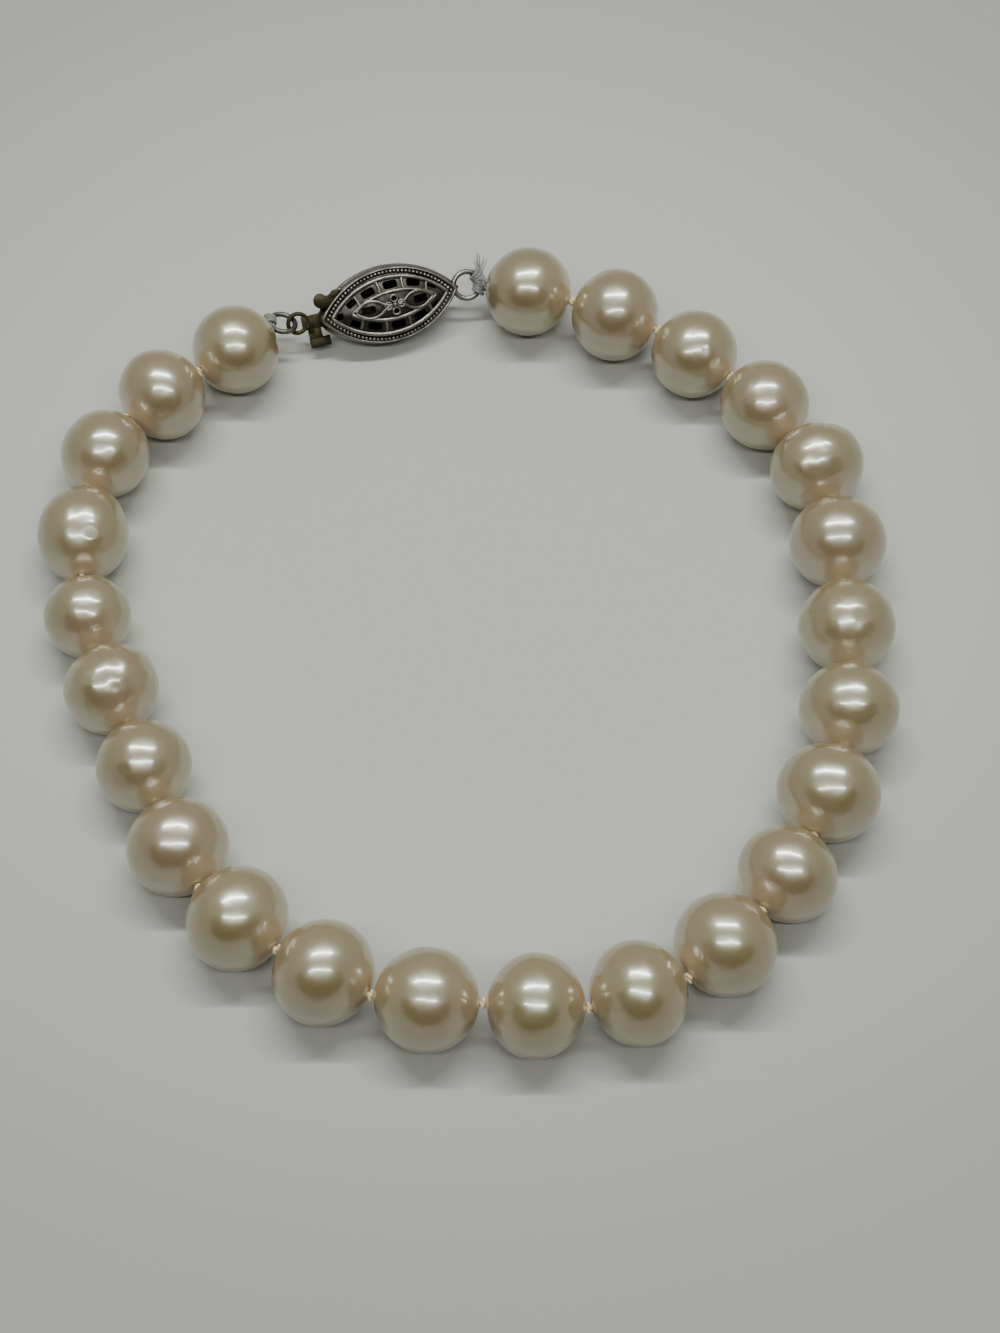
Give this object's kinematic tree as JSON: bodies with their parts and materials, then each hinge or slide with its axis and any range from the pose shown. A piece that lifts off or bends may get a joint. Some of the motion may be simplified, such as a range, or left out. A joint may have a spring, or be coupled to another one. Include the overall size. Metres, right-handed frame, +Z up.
{
  "type": "pearl bracelet",
  "caption": "Closed loop of knotted round cream pearls on silk, joined by a pierced silver marquise clasp with a hook and a small spring lever.",
  "frame": {"origin": "on the surface that the bracelet lies on, under the middle of the loop's box", "axes": "+Z up out of the loop; +Y across the loop towards the clasp; +X along the loop from the hook's side of the clasp to its soldered ring's side"},
  "size_m": [0.0638, 0.0692, 0.0076],
  "materials": {
    "nacre": "polished nacre, cream with a faint rose and green overtone",
    "silk": "twisted silk thread, cream",
    "silver": "worn silver, bright on its edges and dark in its recesses",
    "tarnished_silver": "tarnished silver, brown to nearly black"
  },
  "bodies": {
    "strand": {"pearl_01": "nacre", "pearl_02": "nacre", "pearl_03": "nacre", "pearl_04": "nacre", "pearl_05": "nacre", "pearl_06": "nacre", "pearl_07": "nacre", "pearl_08": "nacre", "pearl_09": "nacre", "pearl_10": "nacre", "pearl_11": "nacre", "pearl_12": "nacre", "pearl_13": "nacre", "pearl_14": "nacre", "pearl_15": "nacre", "pearl_16": "nacre", "pearl_17": "nacre", "pearl_18": "nacre", "pearl_19": "nacre", "pearl_20": "nacre", "pearl_21": "nacre", "pearl_22": "nacre", "pearl_23": "nacre", "pearl_24": "nacre", "thread": "silk", "clasp_box": "silver", "hook": "tarnished_silver", "end_ring": "silver"},
    "lever": {"lever": "tarnished_silver"}
  },
  "joints": [
    {"name": "lever_press", "type": "hinge", "parent": "strand", "child": "lever", "pos_m": [-0.0032, 0.03141, 0.00269], "axis": [0.2173, -0.7107, -0.6691], "range_deg": [0, 4], "stiffness_Nm_per_rad": 0.02}
  ]
}
